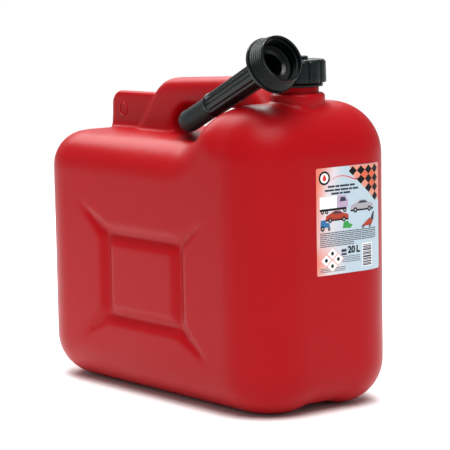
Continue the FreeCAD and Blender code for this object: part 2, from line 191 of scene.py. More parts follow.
def finish_mesh(bm: bmesh.types.BMesh, name: str, crease_deg: float = 35.0) -> bpy.types.Object:
    """Make a smooth-shaded object from a mesh that is already in place.

    Args:
        bm: The mesh, in metres; it is freed.
        name: The piece's name.
        crease_deg: Edges that turn more than this stay sharp.

    Returns:
        The new object, linked to the scene.
    """
    mesh = bpy.data.meshes.new(name)
    bm.to_mesh(mesh)
    bm.free()
    mesh.shade_smooth()
    mesh.set_sharp_from_angle(angle=math.radians(crease_deg))
    return add_object(name, mesh)


def apply_modifiers(piece: bpy.types.Object) -> None:
    """Replace a piece's mesh with what its modifiers make of it.

    Args:
        piece: The piece; its modifiers are cleared.
    """
    graph = bpy.context.evaluated_depsgraph_get()
    graph.update()
    shaped = bpy.data.meshes.new_from_object(piece.evaluated_get(graph))
    piece.modifiers.clear()
    piece.data = shaped


def combine(base: bpy.types.Object, tool: bpy.types.Object, operation: str) -> None:
    """Join or cut a piece with a closed tool, which is then removed.

    Args:
        base: The piece that is changed.
        tool: The closed mesh that is added or taken away.
        operation: UNION or DIFFERENCE.
    """
    cutter = base.modifiers.new("Cutter", "BOOLEAN")
    cutter.object = tool
    cutter.operation = operation
    cutter.solver = "MANIFOLD"
    apply_modifiers(base)
    bpy.data.objects.remove(tool)


def lathe(outline: Outline, steps: int = 128, rounding: float = 0.4,
          rounding_segments: int = 2) -> bmesh.types.BMesh:
    """Spin a closed half section about the Z axis.

    Args:
        outline: Radius and height of each corner, in millimetres.
        steps: Divisions of the full turn.
        rounding: Radius of the moulded edge at each corner that is off the axis.
        rounding_segments: Divisions of that edge.

    Returns:
        A closed mesh with outward normals, in metres.
    """
    bm = bmesh.new()
    corners = [bm.verts.new((r * MM, 0, z * MM)) for r, z in outline]
    bm.faces.new(corners)
    if rounding:
        outer = [v for v in corners if v.co.x > rounding * MM]
        bmesh.ops.bevel(bm, geom=outer, offset=rounding * MM, segments=rounding_segments,
                        profile=0.5, affect="VERTICES", material=-1, clamp_overlap=True)
    bmesh.ops.delete(bm, geom=list(bm.faces), context="FACES_ONLY")
    on_axis = [e for e in bm.edges if all(v.co.x < 1e-7 for v in e.verts)]
    bmesh.ops.delete(bm, geom=on_axis, context="EDGES")
    bmesh.ops.spin(bm, geom=list(bm.verts) + list(bm.edges), cent=(0, 0, 0), axis=(0, 0, 1),
                   angle=FULL_TURN, steps=steps, use_merge=True)
    bmesh.ops.remove_doubles(bm, verts=list(bm.verts), dist=1e-6)
    bmesh.ops.recalc_face_normals(bm, faces=list(bm.faces))
    return bm


def reshape_round(bm: bmesh.types.BMesh, rule: Callable[[float, float, float], float]) -> None:
    """Move each point in or out from the Z axis.

    Args:
        bm: The mesh to change, in metres.
        rule: Gives the new radius from the angle, the radius and the height, in millimetres.
    """
    for vert in bm.verts:
        radius = math.hypot(vert.co.x, vert.co.y)
        if radius < 1e-6:
            continue
        wanted = rule(math.atan2(vert.co.y, vert.co.x), radius / MM, vert.co.z / MM) * MM
        vert.co.x *= wanted / radius
        vert.co.y *= wanted / radius


def add_mesh(bm: bmesh.types.BMesh, extra: bmesh.types.BMesh) -> None:
    """Append one mesh to another.

    Args:
        bm: The mesh that grows.
        extra: The mesh that is added; it is freed.
    """
    carrier = bpy.data.meshes.new("carrier")
    extra.to_mesh(carrier)
    extra.free()
    bm.from_mesh(carrier)
    bpy.data.meshes.remove(carrier)


def smooth_step(low: float, high: float, value: float) -> float:
    """Ease from 0 at low to 1 at high.

    Args:
        low: Where the rise begins.
        high: Where it ends.
        value: The place to read.

    Returns:
        A share from 0 to 1.
    """
    share = min(1.0, max(0.0, (value - low) / (high - low)))
    return share * share * (3 - 2 * share)


@dataclass
class ScrewThread:
    """A moulded helical ridge that fades into the wall at both ends.

    Attributes:
        root: Radius of the wall that it stands on.
        crest: Radius of its top, which may be inside or outside the root.
        start: Height of its beginning.
        pitch: Rise per turn.
        turns: Number of turns.
        half_base: Half the ridge's width at the wall.
        half_crest: Half its width at the top.
        steps_per_turn: Divisions of one turn.
        bury: How far its foot goes into the wall.
        fade: Share of the pitch over which each end sinks away.
    """

    root: float
    crest: float
    start: float
    pitch: float = 4.0
    turns: float = 3.0
    half_base: float = 1.05
    half_crest: float = 0.45
    steps_per_turn: int = 72
    bury: float = 0.25
    fade: float = 0.16

    def build(self) -> bmesh.types.BMesh:
        """Make the ridge.

        Returns:
            A closed mesh about the Z axis, in metres.
        """
        sink = self.bury if self.crest > self.root else -self.bury
        section = [(self.root - sink, -self.half_base), (self.crest, -self.half_crest),
                   (self.crest, self.half_crest), (self.root - sink, self.half_base)]
        bm = bmesh.new()
        corners = [bm.verts.new((r * MM, 0, (self.start + z) * MM)) for r, z in section]
        bm.faces.new(corners)
        steps = round(self.turns * self.steps_per_turn)
        rise = self.pitch * self.turns / steps * MM
        bmesh.ops.spin(bm, geom=list(bm.verts) + list(bm.edges) + list(bm.faces), cent=(0, 0, 0),
                       axis=(0, 0, 1), dvec=(0, 0, rise), angle=FULL_TURN * self.turns, steps=steps,
                       use_merge=False)
        bmesh.ops.remove_doubles(bm, verts=list(bm.verts), dist=1e-7)
        self._fade(bm, sink)
        bmesh.ops.holes_fill(bm, edges=[e for e in bm.edges if e.is_boundary], sides=0)
        bmesh.ops.recalc_face_normals(bm, faces=list(bm.faces))
        return bm

    def _fade(self, bm: bmesh.types.BMesh, sink: float) -> None:
        """Sink the crest into the wall over the last part of each end.

        Args:
            bm: The ridge, in metres.
            sink: How far the foot is buried, negative for a ridge that points inwards.
        """
        fade_height = self.pitch * self.fade
        top = self.start + self.pitch * self.turns
        for vert in bm.verts:
            radius = math.hypot(vert.co.x, vert.co.y) / MM
            if abs(radius - self.crest) > 0.05:
                continue
            height = vert.co.z / MM
            share = min(smooth_step(self.start, self.start + fade_height, height),
                        smooth_step(-top, -top + fade_height, -height))
            low = self.root - sink * 0.6
            wanted = low + (self.crest - low) * share
            vert.co.x *= wanted / radius
            vert.co.y *= wanted / radius


# ------------------------------------------------------------------------------------ finishes


@dataclass(frozen=True)
class MouldedPlastic:
    """A moulded thermoplastic skin: even colour, faint mottling and the mould's fine grain.

    Attributes:
        name: The material's name.
        colour: Its sRGB colour.
        roughness: How widely it spreads a reflection.
        specular: Strength of its reflection, 0.5 for the usual one.
        mottle: Width of the slow colour changes in millimetres.
        mottle_depth: How much darker they get.
        grain: Width of the surface grain in millimetres, drawn coarser than a mould's so that
            it shows.
        grain_height: Height of that grain in millimetres.
    """

    name: str
    colour: str
    roughness: float
    specular: float = 0.5
    mottle: float = 30.0
    mottle_depth: float = 0.05
    grain: float = 1.6
    grain_height: float = 0.02

    def build(self) -> bpy.types.Material:
        """Make the material.

        Returns:
            The material.
        """
        material, tree, place = new_material(self.name)
        shader = add_node(tree, "ShaderNodeBsdfPrincipled",
                          {"Specular IOR Level": self.specular, "IOR": 1.5})
        self._colour(tree, place, shader)
        height = self._height(tree, place)
        bump = add_node(tree, "ShaderNodeBump",
                        {"Strength": 1.0, "Distance": self.grain_height * MM}, {"Height": height})
        tree.links.new(bump.outputs["Normal"], shader.inputs["Normal"])
        add_node(tree, "ShaderNodeOutputMaterial", links={"Surface": shader.outputs[0]})
        return material

    def _noise(self, tree: bpy.types.NodeTree, place: bpy.types.NodeSocket, width: float,
               detail: float = 2.0) -> bpy.types.NodeSocket:
        """Add a noise pattern of a real width.

        Args:
            tree: The material's node tree.
            place: The place on the piece.
            width: Width of one patch in millimetres.
            detail: How many finer layers it has.

        Returns:
            The pattern's socket.
        """
        node = add_node(tree, "ShaderNodeTexNoise", {"Scale": 1 / (width * MM), "Detail": detail},
                        {"Vector": place})
        return node.outputs["Fac"]

    def _colour(self, tree: bpy.types.NodeTree, place: bpy.types.NodeSocket,
                shader: bpy.types.Node) -> None:
        """Give the shader its mottled colour and roughness.

        Args:
            tree: The material's node tree.
            place: The place on the piece.
            shader: The material's shader.
        """
        mottle = self._noise(tree, place, self.mottle)
        dark = tuple(c * (1 - self.mottle_depth) for c in linear(self.colour)[:3]) + (1.0,)
        mix = add_node(tree, "ShaderNodeMix", {6: dark, 7: linear(self.colour)}, {0: mottle},
                       data_type="RGBA")
        tree.links.new(mix.outputs[2], shader.inputs["Base Color"])
        spread = add_node(tree, "ShaderNodeMapRange",
                          {"From Min": 0.3, "From Max": 0.7, "To Min": self.roughness - 0.03,
                           "To Max": self.roughness + 0.04}, {"Value": mottle})
        tree.links.new(spread.outputs[0], shader.inputs["Roughness"])

    def _height(self, tree: bpy.types.NodeTree,
                place: bpy.types.NodeSocket) -> bpy.types.NodeSocket:
        """Give the height of the surface grain."""
        return self._noise(tree, place, self.grain, 3.0)


@dataclass(frozen=True)
class BlowMouldedPolyethylene(MouldedPlastic):
    """Blow moulded polyethylene: satin, with faint upright die lines and the mould's flash line.

    Attributes:
        die_line: Spacing of the die lines in millimetres, drawn coarser than real so they show.
        flash_half_width: Half the width of the flash line in millimetres.
        flash_share: Height of the flash line against the grain's.
        stretch: How far the die lines are drawn out upwards, as a share of their spacing.
        line_share: Height of the die lines against the grain's.
    """

    die_line: float = 5.0
    flash_half_width: float = 0.45
    flash_share: float = 3.0
    stretch: float = 0.02
    line_share: float = 0.9

    def _height(self, tree: bpy.types.NodeTree,
                place: bpy.types.NodeSocket) -> bpy.types.NodeSocket:
        """Add the die lines of the drawn-down tube and the mould's flash line to the grain.

        Args:
            tree: The material's node tree.
            place: The place on the piece.

        Returns:
            The height's socket.
        """
        grain = self._noise(tree, place, self.grain, 3.0)
        upright = add_node(tree, "ShaderNodeMapping", {"Scale": (1.0, 1.0, self.stretch)},
                           {"Vector": place})
        lines = self._noise(tree, upright.outputs[0], self.die_line)
        both = add_node(tree, "ShaderNodeMath", {1: self.line_share}, {0: lines, 2: grain},
                        operation="MULTIPLY_ADD").outputs[0]
        split = add_node(tree, "ShaderNodeSeparateXYZ", links={0: place})
        distance = add_node(tree, "ShaderNodeMath", links={0: split.outputs["Y"]},
                            operation="ABSOLUTE").outputs[0]
        flash = add_node(tree, "ShaderNodeMapRange",
                         {"From Min": 0.0, "From Max": self.flash_half_width * MM,
                          "To Min": self.flash_share, "To Max": 0.0}, {"Value": distance},
                         interpolation_type="SMOOTHSTEP")
        return add_node(tree, "ShaderNodeMath", links={0: both, 1: flash.outputs[0]},
                        operation="ADD").outputs[0]


@dataclass(frozen=True)
class LabelFilm:
    """Printed polypropylene film: a pale blue ground that turns salmon towards one side.

    Attributes:
        name: The material's name.
        cool: Its far side's sRGB colour.
        white: The colour between the two.
        warm: Its near side's sRGB colour.
        left: The label's near edge in millimetres.
        width: The label's width in millimetres.
        blend_share: Part of the width over which the ground turns.
        swirl: Width of the cloudiness in millimetres.
        swirl_share: How far the cloudiness moves the colours.
        stops: Places of the warm and the middle colour in the gradient.
    """

    name: str = "printed_polypropylene_label_film"
    cool: str = "#B2C4D0"
    white: str = "#D6CDD2"
    warm: str = "#DD7A62"
    left: float = -24.0
    width: float = 91.0
    blend_share: float = 0.62
    swirl: float = 38.0
    swirl_share: float = 0.55
    stops: tuple[float, float] = (0.26, 0.66)

    def build(self) -> bpy.types.Material:
        """Make the material; its gradient follows the label's place on the can.

        Returns:
            The material.
        """
        material, tree, place = new_material(self.name)
        split = add_node(tree, "ShaderNodeSeparateXYZ", links={0: place})
        turned = self.left + self.width * self.blend_share
        across = add_node(tree, "ShaderNodeMapRange",
                          {"From Min": self.left * MM, "From Max": turned * MM, "To Min": 0.0,
                           "To Max": 1.0}, {"Value": split.outputs["Y"]})
        swirl = add_node(tree, "ShaderNodeTexNoise", {"Scale": 1 / (self.swirl * MM), "Detail": 1.0},
                         {"Vector": place})
        blend = add_node(tree, "ShaderNodeMath", {1: self.swirl_share},
                         {0: swirl.outputs["Fac"], 2: across.outputs[0]}, operation="MULTIPLY_ADD")
        ramp = add_node(tree, "ShaderNodeValToRGB", links={0: blend.outputs[0]})
        ramp.color_ramp.elements[0].position = self.stops[0]
        ramp.color_ramp.elements[0].color = linear(self.warm)
        ramp.color_ramp.elements[1].position = 1.0
        ramp.color_ramp.elements[1].color = linear(self.cool)
        middle = ramp.color_ramp.elements.new(self.stops[1])
        middle.color = linear(self.white)
        shader = add_node(tree, "ShaderNodeBsdfPrincipled",
                          {"Roughness": 0.42, "Specular IOR Level": 0.4},
                          {"Base Color": ramp.outputs[0]})
        add_node(tree, "ShaderNodeOutputMaterial", links={"Surface": shader.outputs[0]})
        return material


# Satin red skin of a blow moulded polyethylene can: broad soft highlights, no mirror reflections
TANK_RED = BlowMouldedPolyethylene("blow_moulded_polyethylene_red", "#A20912", 0.38, 0.11,
                                   mottle=60.0, mottle_depth=0.06, grain=1.8, grain_height=0.012)
# Injection moulded polypropylene of the cap: black, with a satin gloss on the lobes
CAP_BLACK = MouldedPlastic("injection_moulded_polypropylene_black", "#0A1314", 0.36, 0.2,
                           mottle=12.0, mottle_depth=0.15, grain=0.9, grain_height=0.015)
# Injection moulded polyethylene of the spout: black and glossier than the cap
SPOUT_BLACK = MouldedPlastic("injection_moulded_polyethylene_black", "#070D0E", 0.25, 0.24,
                             mottle=14.0, mottle_depth=0.15, grain=1.2, grain_height=0.012)
# Flexible moulded polyethylene of the outlet: matt dark grey, so its round form shows without gloss
NOZZLE_GREY = MouldedPlastic("moulded_flexible_polyethylene_dark_grey", "#151E1F", 0.58, 0.22,
                             mottle=10.0, mottle_depth=0.15, grain=0.8, grain_height=0.02)
# Die-cut nitrile rubber of the two washers: dull black that hardly reflects
SEAL_RUBBER = MouldedPlastic("die_cut_nitrile_rubber", "#111313", 0.75, 0.4,
                             mottle=6.0, mottle_depth=0.2, grain=0.5, grain_height=0.03)


class Ink(Enum):
    """Printing inks of the label, as sRGB colours."""

    BLACK = "#0A0506"
    ORANGE = "#DC6546"
    SALMON = "#E0917C"
    RED = "#D8332F"
    SLATE = "#343847"
    GREY = "#565A61"
    SILVER = "#A9A6AC"
    WHITE = "#F6F5F6"
    BLUE = "#2F6E9E"
    GREEN = "#3E9A4C"
    BRICK = "#A8402F"
    LILAC = "#B8A3BE"

    def build(self) -> bpy.types.Material:
        """Make the ink's material: a dense semi-gloss colour with a little unevenness."""
        return MouldedPlastic(f"printed_ink_{self.name.lower()}", self.value, 0.45, 0.15,
                              mottle=5.0, mottle_depth=0.08, grain=0.6, grain_height=0.003).build()


def dress(piece: bpy.types.Object, body: Rides, slot: SlotName,
          *materials: bpy.types.Material) -> bpy.types.Object:
    """Give a piece its materials and its body.

    Args:
        piece: The finished piece.
        body: The body that it rides on.
        slot: The record's slot for the piece; not used.
        *materials: The materials of its slots, in order.

    Returns:
        The same piece.
    """
    for material in materials:
        piece.data.materials.append(material)
    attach(piece, body.value)
    LOG.info("%s rides on %s with %d faces", piece.name, body.value, len(piece.data.polygons))
    return piece


# ------------------------------------------------------------------------------------ the tank


@dataclass
class TankShell:
    """The blow moulded can: body, handle, fin and threaded neck in one hollow skin.

    Attributes:
        grid: Spacing of the skin's points.
        soften_passes: How often the skin is smoothed.
        cut_height: Height at which the designed neck is cut off.
        cut_reach: Distance from the neck's axis within which it is cut.
        channel_depth: Extra depth of the channel under the base.
        mark_place: Length and height of the mould-date ring's middle on the fin.
    """

    grid: float = 2.5
    soften_passes: int = 9
    ring_radius: float = 28.3
    ring_top: float = 332.0
    ring_foot: float = 316.0
    plain_radius: float = 22.0
    plain_top: float = 338.5
    root_radius: float = 20.6
    thread_crest: float = 22.2
    thread_start: float = 345.5
    neck_top: float = 362.0
    cut_height: float = 325.0
    cut_reach: float = 30.5
    channel_depth: float = 4.0
    channel_half_width: float = 38.0
    mark_place: tuple[float, float] = (-157.0, 300.0)
    mark_radius: float = 6.8

    def build(self) -> bpy.types.Object:
        """Make the hollow can with soft moulded edges, and put it on the tank."""
        skin, hollow = self._split_skins()
        outside = finish_mesh(skin, "tank_shell_skin")
        target = add_object("skin_target", outside.data.copy())
        regrid = outside.modifiers.new("Regrid", "REMESH")
        regrid.mode = "VOXEL"
        regrid.voxel_size = self.grid * MM
        settle = outside.modifiers.new("Settle", "SHRINKWRAP")
        settle.target = target
        apply_modifiers(outside)
        bpy.data.objects.remove(target)
        self._soften(outside)
        combine(outside, self._neck(), "UNION")
        for side in (-1, 1):
            combine(outside, self._fin_mark(side), "UNION")
        combine(outside, finish_mesh(hollow, "tank_hollow"), "DIFFERENCE")
        shell = bmesh.new()
        shell.from_mesh(outside.data)
        bpy.data.objects.remove(outside)
        bmesh.ops.remove_doubles(shell, verts=list(shell.verts), dist=1e-6)
        add_mesh(shell, self._thread())
        tank = finish_mesh(shell, "tank_moulding", crease_deg=38)
        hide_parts("tank_shell")
        return dress(tank, Rides.TANK, SlotName.TANK, TANK_RED.build())

    def _split_skins(self) -> tuple[bmesh.types.BMesh, bmesh.types.BMesh]:
        """Part the designed shell in two.

        Returns:
            The outer skin without its neck, and the hollow with a bore that passes the neck's lip.
        """
        bm = bmesh.new()
        bm.from_mesh(frame["nodes"]["tank_shell"].data)
        bmesh.ops.remove_doubles(bm, verts=list(bm.verts), dist=2e-6)
        near = {v for v in bm.verts
                if math.hypot(v.co.x - NECK_X * MM, v.co.y) < self.cut_reach * MM
                and v.co.z > (self.cut_height - 9) * MM}
        faces = [f for f in bm.faces if all(v in near for v in f.verts)]
        edges = [e for e in bm.edges if all(v in near for v in e.verts)]
        bmesh.ops.bisect_plane(bm, geom=list(near) + edges + faces, dist=1e-7,
                               plane_co=(0, 0, self.cut_height * MM), plane_no=(0, 0, 1),
                               clear_outer=True)
        outer = self._island(bm)
        hollow = bm.copy()
        lookup = {v.index for v in outer}
        bmesh.ops.delete(hollow, geom=[v for v in hollow.verts if v.index in lookup],
                         context="VERTS")
        bmesh.ops.delete(bm, geom=[v for v in bm.verts if v not in outer], context="VERTS")
        bmesh.ops.holes_fill(bm, edges=[e for e in bm.edges if e.is_boundary], sides=0)
        rim = [e for e in hollow.edges if e.is_boundary]
        raised = bmesh.ops.extrude_edge_only(hollow, edges=rim)["geom"]
        lift = (self.neck_top + 4 - self.cut_height) * MM
        bmesh.ops.translate(hollow, vec=(0, 0, lift), verts=verts_in(raised))
        bmesh.ops.holes_fill(hollow, edges=[e for e in hollow.edges if e.is_boundary], sides=0)
        for part in (bm, hollow):
            bmesh.ops.recalc_face_normals(part, faces=list(part.faces))
        self._raise_base(hollow, lambda across: 1.0)
        return bm, hollow

    def _channel(self, across: float) -> float:
        """Give the share of the channel's depth at a distance from the middle of the base."""
        return smooth_step(-self.channel_half_width, -self.channel_half_width * 0.35, -across)

    def _raise_base(self, bm: bmesh.types.BMesh, share: Callable[[float], float]) -> None:
        """Raise the base by the channel's extra depth.

        Args:
            bm: The mesh to change, in metres.
            share: Gives the part of the depth to use, from the millimetres off the middle.
        """
        for vert in bm.verts:
            low = smooth_step(-60.0, -6.0, -vert.co.z / MM)
            vert.co.z += self.channel_depth * MM * low * share(abs(vert.co.y) / MM)

    def _island(self, bm: bmesh.types.BMesh) -> set[bmesh.types.BMVert]:
        """Collect the points joined to the one that stands furthest forward.

        Args:
            bm: The designed shell, skin and hollow.

        Returns:
            The outer skin's points.
        """
        bm.verts.index_update()
        waiting = [max(bm.verts, key=lambda v: v.co.x)]
        found = set(waiting)
        while waiting:
            for edge in waiting.pop().link_edges:
                for vert in edge.verts:
                    if vert not in found:
                        found.add(vert)
                        waiting.append(vert)
        return found

    def _soften(self, piece: bpy.types.Object) -> None:
        """Round the creases as blowing does, most where the handle, fin and ring meet the body.

        Args:
            piece: The outer skin.
        """
        bm = bmesh.new()
        bm.from_mesh(piece.data)
        for _ in range(self.soften_passes):
            bmesh.ops.smooth_vert(bm, verts=list(bm.verts), factor=0.5,
                                  use_axis_x=True, use_axis_y=True, use_axis_z=True)
        self._raise_base(bm, self._channel)
        bm.to_mesh(piece.data)
        bm.free()

    def _fin_mark(self, side: int) -> bpy.types.Object:
        """Make the mould-date ring that stands up from one face of the fin, as a closed tool.

        Args:
            side: -1 for the near face, 1 for the far one.

        Returns:
            The tool, in place.
        """
        radius = self.mark_radius
        bm = lathe([(radius - 1.2, 4.6), (radius + 1.2, 4.6), (radius + 0.5, 6.4),
                    (radius - 0.5, 6.4)], steps=64, rounding=0.3)
        turn = Matrix.Rotation(math.radians(-90 * side), 4, "X")
        spot = place_vector((self.mark_place[0], 0, self.mark_place[1]))
        bmesh.ops.transform(bm, matrix=Matrix.Translation(spot) @ turn, verts=list(bm.verts))
        return finish_mesh(bm, "fin_mark")

    def _neck(self) -> bpy.types.Object:
        """Make the ring, the plain collar and the thread's root.

        Returns:
            One closed tool, in place.
        """
        bm = lathe([(0, self.ring_foot), (self.ring_radius - 1, self.ring_foot),
                    (self.ring_radius, self.cut_height - 1), (self.ring_radius, self.ring_top - 2.4),
                    (self.ring_radius - 2.4, self.ring_top), (self.plain_radius, self.ring_top),
                    (self.plain_radius, self.plain_top), (self.root_radius, self.plain_top),
                    (self.root_radius, self.neck_top), (0, self.neck_top)], rounding=0.7)
        return finish_mesh(onto_neck(bm), "neck_tool")

    def _thread(self) -> bmesh.types.BMesh:
        """Make the male thread, in place on the neck."""
        return onto_neck(ScrewThread(self.root_radius, self.thread_crest, self.thread_start).build())


# ------------------------------------------------------------------------------------ the closure


@dataclass
class ScrewClosure:
    """The cap with its grip lobes, the washer inside it and the tamper ring under it."""

    skirt: float = 343.0
    top: float = 366.5
    radius: float = 30.2
    lobes: int = 12
    lobe_depth: float = 2.3
    bore: float = 22.8
    ceiling: float = 363.6
    boss_radius: float = 11.2
    boss_top: float = 370.0
    thread_start: float = 347.5
    ring_outline: Outline = ((21.0, 338.8), (26.4, 338.8), (26.4, 341.0), (25.6, 341.8),
                             (21.0, 341.8))
    washer_outline: Outline = ((15.0, 362.2), (22.5, 362.2), (22.5, 363.5), (15.0, 363.5))

    def build(self) -> None:
        """Make the three pieces and put them on their bodies."""
        black = CAP_BLACK.build()
        cap = self._in_place(self._cap(), "screw_cap")
        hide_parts("screw_cap")
        dress(cap, Rides.CAP, SlotName.CAP, black)
        hoop = lathe(self.ring_outline, steps=192, rounding=0.35)
        ring = self._in_place(hoop, "tamper_ring")
        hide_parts("tamper_ring")
        dress(ring, Rides.TANK, SlotName.CAP, black)
        washer = lathe(self.washer_outline, rounding=0.25)
        seal = self._in_place(washer, "cap_seal")
        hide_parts("cap_seal")
        dress(seal, Rides.SEAL, SlotName.SEAL, SEAL_RUBBER.build())

    def _in_place(self, bm: bmesh.types.BMesh, name: str) -> bpy.types.Object:
        """Move a lathed mesh onto the neck's axis and make it a piece."""
        return finish_mesh(onto_neck(bm), name)

    def _cap(self) -> bmesh.types.BMesh:
        """Lathe the cup and press the grip lobes into its skirt.

        Returns:
            The cap's mesh about the Z axis.
        """
        flare = 0.5
        skirt_side = [(self.radius - flare * share,
                       self.skirt + (self.top - 2.6 - self.skirt) * share)
                      for share in (0.0, 0.33, 0.66, 1.0)]
        cup = lathe(
            [(0, self.ceiling), (self.bore, self.ceiling), (self.bore, self.skirt + 1.2),
             (self.bore + 0.8, self.skirt)] + skirt_side
            + [(self.radius - 2.8, self.top), (self.boss_radius + 5.2, self.top),
               (self.boss_radius + 4.4, self.top - 0.8), (self.boss_radius + 0.6, self.top - 0.8),
               (self.boss_radius, self.top - 0.4), (self.boss_radius - 0.4, self.boss_top),
               (self.boss_radius - 3.0, self.boss_top),
               (self.boss_radius - 3.6, self.boss_top - 0.7),
               (0, self.boss_top - 0.7)],
            steps=288, rounding=0.5, rounding_segments=3)
        reshape_round(cup, self._lobed)
        add_mesh(cup, ScrewThread(self.bore, PLUG_THREAD_CREST, self.thread_start).build())
        return cup

    def _lobed(self, angle: float, radius: float, _height: float) -> float:
        """Press narrow valleys between broad round lobes.

        Args:
            angle: The place round the cap, in radians.
            radius: The round skirt's radius.

        Returns:
            The lobed skirt's radius.
        """
        outside = smooth_step(self.bore + 3.2, self.radius - 1.2, radius)
        wave = abs(math.cos(angle * self.lobes / 2))
        valley = (1 - wave ** 0.45) if wave > 0 else 1.0
        return radius - self.lobe_depth * valley * outside


# ------------------------------------------------------------------------------------ the spout


@dataclass
class StoredSpout:
    """The pouring spout in its store: a threaded collar, a fluted tube and a bent nozzle.

    Depths are measured back along the spout from the collar's rim.
    """

    joint_depth: float = 20.0
    collar_length: float = 22.0
    rim_radius: float = 24.7
    rear_radius: float = 28.4
    flange_radius: float = 30.0
    flange_thickness: float = 3.5
    thread_root: float = 22.8
    ridges: int = 6
    tube_end: float = 128.0
    tube_rear_radius: float = 14.2
    tube_end_radius: float = 12.9
    flutes: int = 10
    nozzle_radius: float = 12.0
    leg_radius: float = 10.6
    nozzle_bore: float = 8.8
    corner_depth: float = 173.0
    bend_radius: float = 30.0
    spigot_radius: float = 10.9
    spigot_length: float = 15.0
    bend_steps: int = 14
    leg_steps: int = 10
    thread_start: float = -14.0
    thread_turns: float = 2.5
    under_head: float = -18.9
    washer_outline: Outline = ((17.0, -16.9), (20.6, -16.9), (20.6, -15.5), (17.0, -15.5))
    axis: Vector = field(init=False)
    rim: Vector = field(init=False)
    tip: Vector = field(init=False)

    def __post_init__(self) -> None:
        """Read the spout's axis from the collar's joint and the outlet from its mount."""
        joint = next(j for j in frame["joints"] if j["name"] == "collar_turn")
        self.axis = Vector(joint["axis"]).normalized()
        self.rim = Vector(joint["pos_m"]) + self.axis * self.joint_depth * MM
        mount = next(m for m in frame["record"]["mounts"] if m["name"] == "nozzle_tip")
        reach = Vector(mount["axis"]).normalized() * mount["dims"]["length_mm"] / 2 * MM
        self.tip = Vector(mount["pos_m"]) + reach

    def build(self) -> None:
        """Make the spout's pieces and put them on their bodies."""
        black = SPOUT_BLACK.build()
        collar = self._along(self._collar(), "spout_collar")
        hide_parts("spout_collar")
        dress(collar, Rides.COLLAR, SlotName.SPOUT, black)
        tube = self._along(self._tube(), "spout_tube")
        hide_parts("spout_tube")
        dress(tube, Rides.SPOUT, SlotName.SPOUT, black)
        washer = lathe(self.washer_outline, rounding=0.25)
        gasket = self._along(washer, "spout_gasket")
        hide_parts("spout_gasket")
        dress(gasket, Rides.SPOUT, SlotName.SEAL, SEAL_RUBBER.build())
        nozzle = finish_mesh(self._nozzle(), "spout_nozzle")
        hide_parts("spout_nozzle")
        dress(nozzle, Rides.SPOUT, SlotName.NOZZLE, NOZZLE_GREY.build())

    def _along(self, bm: bmesh.types.BMesh, name: str) -> bpy.types.Object:
        """Turn a mesh lathed about Z onto the spout's axis, with its zero at the collar's rim.

        Args:
            bm: The lathed mesh; it is freed.
            name: The piece's name.

        Returns:
            The piece.
        """
        turn = self.axis.to_track_quat("Z", "Y").to_matrix().to_4x4()
        bmesh.ops.transform(bm, matrix=Matrix.Translation(self.rim) @ turn, verts=list(bm.verts))
        return finish_mesh(bm, name, crease_deg=40)

    def _collar(self) -> bmesh.types.BMesh:
        """Lathe the captive nut with its ridged barrel, flange and female thread.

        Returns:
            The nut's mesh about the Z axis.
        """
        rear = -self.collar_length
        flange_front = rear + self.flange_thickness
        outline = [(self.thread_root, -0.9), (self.thread_root + 0.5, 0.0),
                   (self.rim_radius, 0.0), (self.rim_radius, -2.2)]
        span = -2.6 - flange_front
        for ridge in range(self.ridges):
            share = (ridge + 0.5) / self.ridges
            radius = self.rim_radius + (self.rear_radius - self.rim_radius) * share
            middle = -2.6 - span * share
            half = span / self.ridges * 0.24
            outline += [(radius - 0.5, middle + half * 1.7), (radius + 0.7, middle + half * 0.7),
                        (radius + 0.7, middle - half * 0.7),
                        (radius - 0.5, middle - half * 1.7)]
        outline += [(self.rear_radius, flange_front), (self.flange_radius, flange_front),
                    (self.flange_radius, rear), (self.tube_rear_radius + 0.5, rear),
                    (self.tube_rear_radius + 0.5, rear + 3), (self.thread_root, rear + 3)]
        nut = lathe(outline, steps=160, rounding=0.25)
        add_mesh(nut, ScrewThread(self.thread_root, PLUG_THREAD_CREST, self.thread_start,
                                  turns=self.thread_turns).build())
        return nut

    def _tube(self) -> bmesh.types.BMesh:
        """Lathe the tube with its captive head and press the long flutes into it.

        Returns:
            The tube's mesh about the Z axis.
        """
        start = -24.0
        shaft = [(self.tube_rear_radius + (self.tube_end_radius - self.tube_rear_radius) * share,
                  start + (3.5 - self.tube_end - start) * share)
                 for share in (0, 0.06, 0.12, 0.25, 0.5, 0.75, 0.88, 0.94, 1)]
        bm = lathe([(16.5, -16.9), (20.9, -16.9), (20.9, self.under_head),
                    (self.tube_rear_radius, self.under_head)]
                   + shaft + [(self.tube_end_radius + 0.7, -self.tube_end + 2.6),
                              (self.tube_end_radius + 0.7, -self.tube_end), (11.3, -self.tube_end),
                              (11.0, start - 8), (self.tube_rear_radius - 2, start + 2),
                              (self.tube_rear_radius - 2, self.under_head)],
                   steps=240, rounding=0.35)
        reshape_round(bm, self._fluted)
        return bm

    def _fluted(self, angle: float, radius: float, height: float) -> float:
        """Press long shallow hollows that run out before both ends of the shaft.

        Args:
            angle: The place round the shaft, in radians.
            radius: The round shaft's radius.
            height: The place along the shaft.

        Returns:
            The fluted shaft's radius.
        """
        outside = smooth_step(11.6, 12.6, radius)
        along = smooth_step(-27.0, -34.0, height) if height > -80 else 1.0
        along *= smooth_step(-self.tube_end + 4.0, -self.tube_end + 11.0, height)
        hollow = max(0.0, math.cos(angle * self.flutes)) ** 0.8
        return radius - 1.0 * hollow * outside * along

